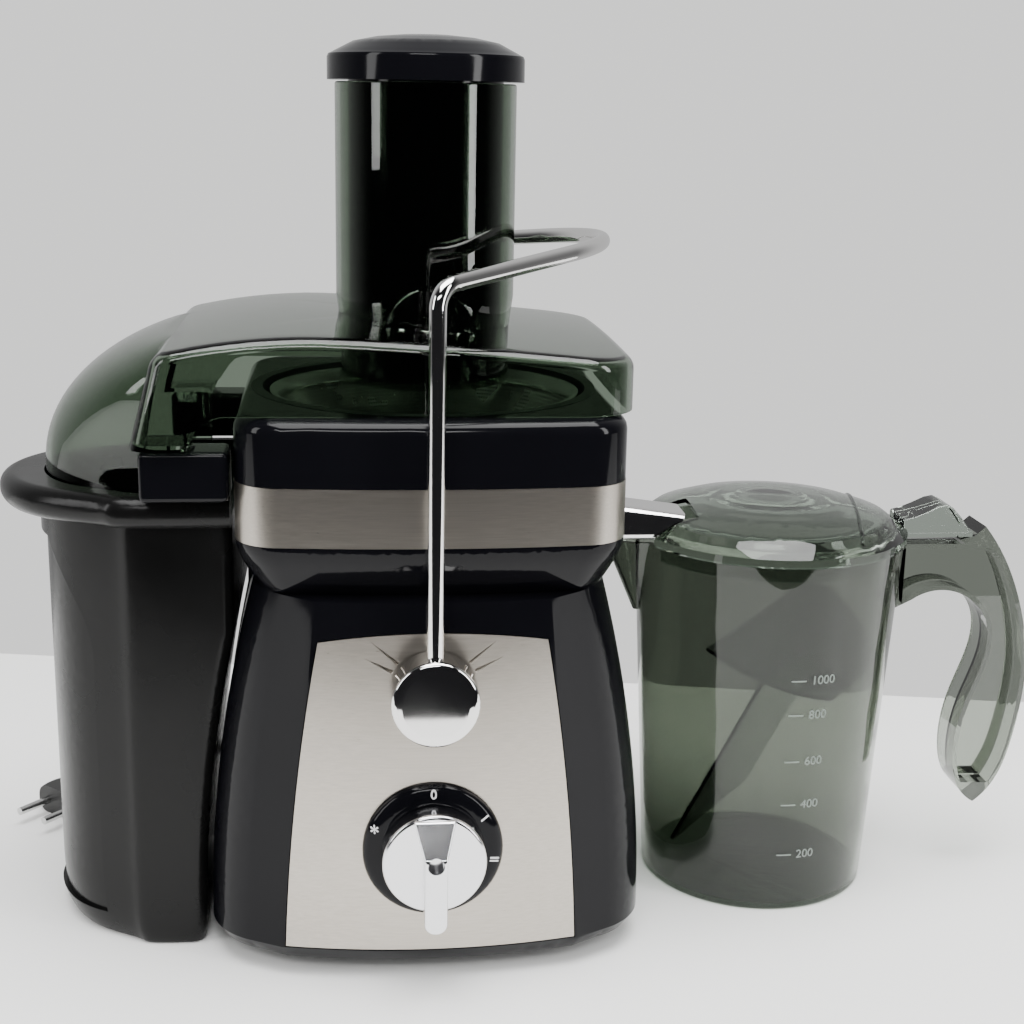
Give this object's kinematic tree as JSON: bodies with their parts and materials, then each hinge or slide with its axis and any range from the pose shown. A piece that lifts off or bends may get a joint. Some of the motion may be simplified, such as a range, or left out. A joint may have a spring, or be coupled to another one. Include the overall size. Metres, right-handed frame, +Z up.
{
  "type": "centrifugal juicer",
  "caption": "Centrifugal juicer with a wide feed tube and pusher, locking wire bail, rotary switch, side pulp container and a lidded juice jug under the spout.",
  "frame": {"origin": "on the floor under the middle of the machine with its jug and pulp container, without the lead", "axes": "+X towards the juice jug, +Y towards the back, +Z up; the motor shaft is vertical"},
  "size_m": [0.5072, 0.3053, 0.4],
  "materials": {
    "black_gloss": "glossy black moulded plastic",
    "satin_black": "satin black moulded plastic",
    "feet_rubber": "soft black rubber",
    "cord_black": "black flexible mains lead",
    "zinc_steel": "plain zinc plated steel",
    "brushed_band": "fine horizontal brushed stainless steel",
    "basket_steel": "bright stainless steel",
    "lamination": "dull stacked laminations",
    "copper": "enamelled copper winding",
    "bronze": "sintered bronze",
    "carbon": "dull carbon block",
    "mirror_chrome": "polished chrome plate",
    "satin_chrome": "satin chrome plated plastic",
    "smoke_clear": "clear smoky green grey plastic"
  },
  "bodies": {
    "base": {"base_housing": "black_gloss", "bottom_plate": "satin_black", "rubber_feet": "feet_rubber", "base_screws": "zinc_steel", "front_fascia": "brushed_band", "motor_mounts": "feet_rubber", "lower_bracket": "zinc_steel", "upper_bracket": "zinc_steel", "stator_core": "lamination", "field_coils": "copper", "shaft_bearings": "bronze", "brush_holders": "satin_black", "carbon_brushes": "carbon", "rotary_switch": "satin_black", "dial_ring": "black_gloss", "pivot_bushes": "satin_black", "interlock_switch": "satin_black", "juice_spout": "mirror_chrome", "collector_bowl": "satin_black", "collar_housing": "black_gloss", "steel_band": "brushed_band", "shaft_seal": "satin_black", "lid": "smoke_clear", "strain_relief": "feet_rubber", "mains_lead": "cord_black", "lead_coil": "cord_black", "lead_tail": "cord_black", "plug_body": "cord_black", "plug_pins": "zinc_steel"},
    "rotor": {"motor_shaft": "zinc_steel", "armature_core": "lamination", "commutator": "satin_black", "cooling_fan": "satin_black", "drive_coupling": "satin_black", "filter_basket": "basket_steel", "basket_rim": "basket_steel", "basket_hub": "satin_black", "grater_disc": "basket_steel", "basket_nut": "basket_steel"},
    "knob": {"control_knob": "satin_chrome", "knob_spindle": "zinc_steel"},
    "bail": {"bail_wire": "mirror_chrome", "front_pivot_cap": "mirror_chrome", "rear_pivot_cap": "mirror_chrome", "pivot_pins": "zinc_steel"},
    "interlock": {"interlock_plunger": "zinc_steel"},
    "pusher": {"pusher": "black_gloss"},
    "pulp_container": {"pulp_container": "black_gloss"},
    "jug": {"juice_jug": "smoke_clear", "froth_separator": "smoke_clear"},
    "jug_lid": {"jug_lid": "smoke_clear"}
  },
  "joints": [
    {"name": "basket_spin", "type": "hinge", "parent": "base", "child": "rotor", "pos_m": [-0.05427, 0.00555, 0.1], "axis": [0, 0, 1], "continuous": true},
    {"name": "speed_knob", "type": "hinge", "parent": "base", "child": "knob", "pos_m": [-0.05427, -0.09845, 0.0626], "axis": [0, 1, 0], "range_deg": [-64, 99]},
    {"name": "bail_swing", "type": "hinge", "parent": "base", "child": "bail", "pos_m": [-0.05427, 0.00555, 0.1333], "axis": [0, 1, 0], "range_deg": [0, 45]},
    {"name": "interlock_rise", "type": "slide", "parent": "base", "child": "interlock", "axis": [0, 0, 1], "range_m": [0, 0.0015]},
    {"name": "pusher_lift", "type": "slide", "parent": "base", "child": "pusher", "axis": [0, 0, 1], "range_m": [0, 0.16]},
    {"name": "container_slide", "type": "slide", "parent": "base", "child": "pulp_container", "axis": [-1, 0, 0], "range_m": [0, 0.12]},
    {"name": "jug_slide", "type": "slide", "parent": "base", "child": "jug", "axis": [1, 0, 0], "range_m": [0, 0.12]},
    {"name": "jug_lid_lift", "type": "slide", "parent": "jug", "child": "jug_lid", "axis": [0, 0, 1], "range_m": [0, 0.08]}
  ],
  "couplings": [
    {"joint": "interlock_rise", "follows": "bail_swing", "m_per_rad": 0.0019099}
  ]
}
